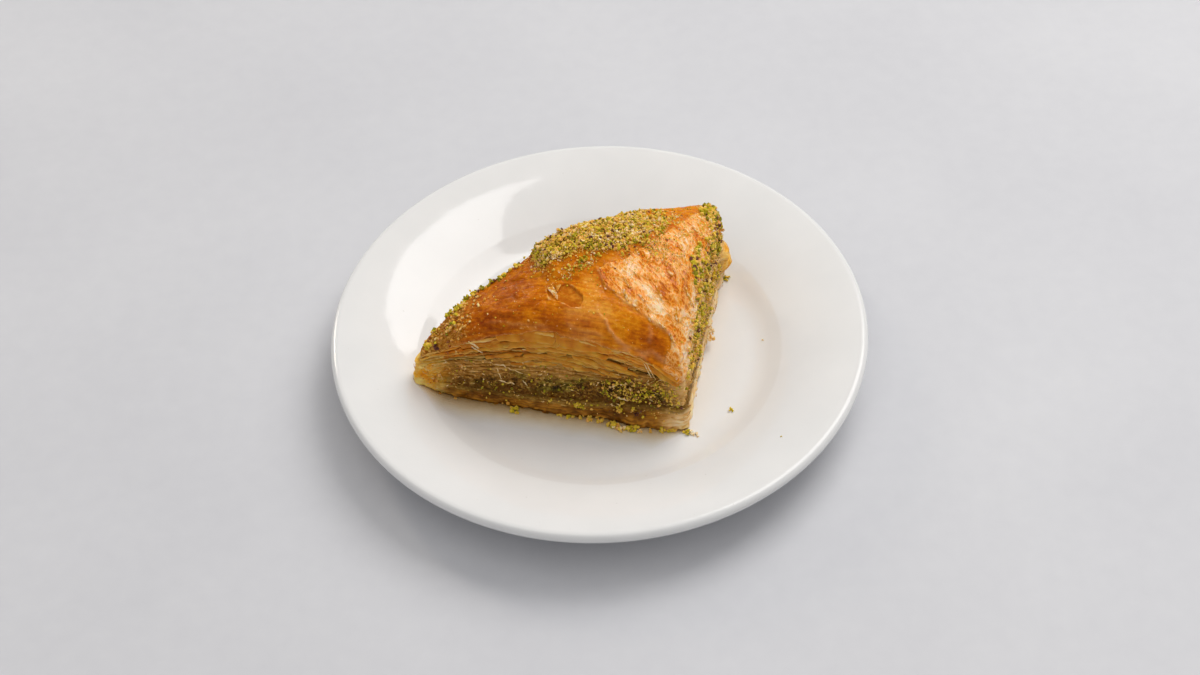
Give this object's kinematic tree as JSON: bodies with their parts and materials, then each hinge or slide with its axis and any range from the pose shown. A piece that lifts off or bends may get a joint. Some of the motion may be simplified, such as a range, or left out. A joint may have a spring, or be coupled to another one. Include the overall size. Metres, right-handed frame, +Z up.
{
  "type": "pistachio baklava slice on a plate",
  "caption": "Triangular slice of layered phyllo pastry with a ground nut filling and a strewn nut heap, on a round dessert plate with a raised rim.",
  "frame": {"origin": "centre of the plate, at the underside of its foot ring", "axes": "+Z up, +X to the right and +Y away from the front of the slice as it is served"},
  "size_m": [0.16, 0.16, 0.0505],
  "materials": {
    "porcelain": "white glazed porcelain",
    "soaked_phyllo": "brown phyllo leaves soaked with syrup",
    "pistachio_paste": "moist olive filling of ground pistachio and leaves",
    "baked_phyllo": "glossy baked phyllo with bright green ground pistachio on it"
  },
  "bodies": {
    "root": {"plate": "porcelain", "bottom_phyllo": "soaked_phyllo", "pistachio_filling": "pistachio_paste", "top_phyllo": "baked_phyllo"}
  },
  "joints": []
}
